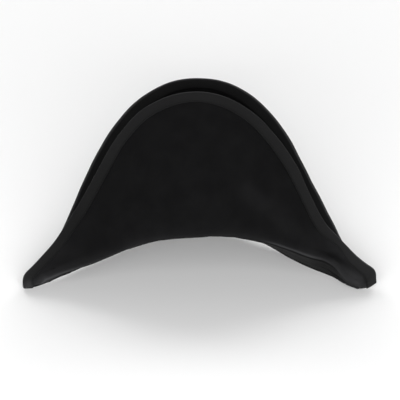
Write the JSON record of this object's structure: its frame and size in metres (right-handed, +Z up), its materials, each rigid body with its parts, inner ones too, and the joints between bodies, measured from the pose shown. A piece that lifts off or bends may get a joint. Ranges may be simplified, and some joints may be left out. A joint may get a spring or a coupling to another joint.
{
  "type": "bicorne hat",
  "caption": "Plain stiff felt hat with a round crown and a brim folded up front and back into side points, bound with tape.",
  "frame": {"origin": "on the table under the middle of the hat as it lies by itself, leaning back on its right wing, its left point and the fold of its back flap", "axes": "+X from the left point to the right one as seen from the front, +Y from the front flap to the back flap, +Z up"},
  "size_m": [0.4488, 0.2858, 0.2606],
  "materials": {
    "felt": "matt black wool felt with a short nap",
    "tape": "black woven tape folded over the edge and stitched"
  },
  "bodies": {
    "root": {"felt_body": "felt", "edge_binding": "tape"}
  },
  "joints": []
}
